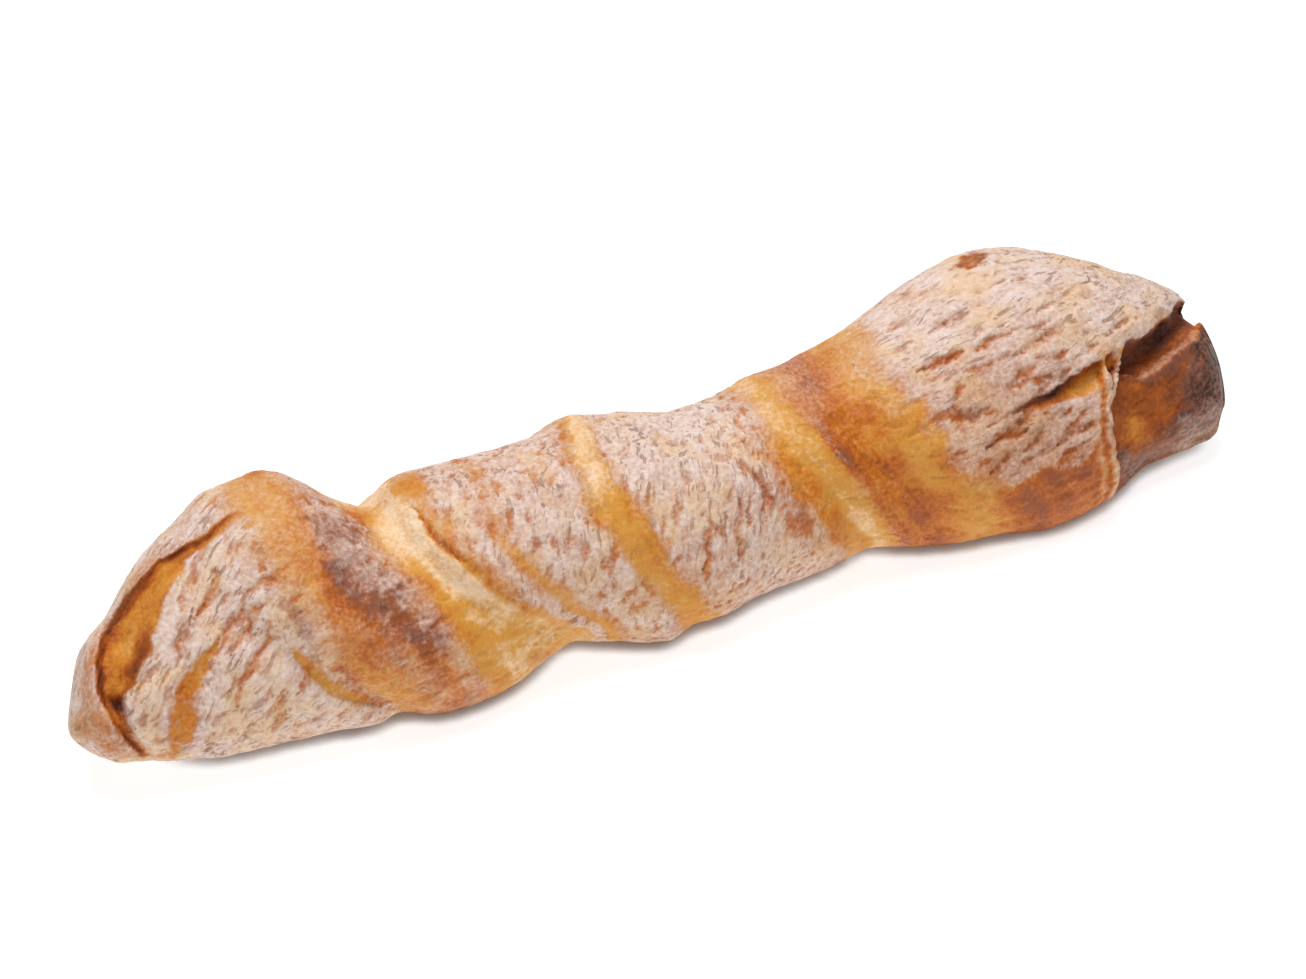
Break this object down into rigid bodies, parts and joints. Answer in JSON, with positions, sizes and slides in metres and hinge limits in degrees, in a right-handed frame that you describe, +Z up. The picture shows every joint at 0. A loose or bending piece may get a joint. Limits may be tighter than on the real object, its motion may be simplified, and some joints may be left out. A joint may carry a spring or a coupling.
{
  "type": "twist bread",
  "caption": "Long crusty loaf of floured dough turned on itself, with spiral creases, browned bare folds and a torn end at each side.",
  "frame": {"origin": "middle of the loaf's length and width, on the surface it lies on", "axes": "+X along the loaf towards the end with the brown lobe, +Z up, -Y towards the front that shows the floured faces"},
  "size_m": [0.36, 0.072, 0.0653],
  "materials": {
    "crust": "dry matt crust, golden to orange brown where bare, dusted and cracked white flour on the broad faces"
  },
  "bodies": {
    "root": {"loaf": "crust"}
  },
  "joints": []
}
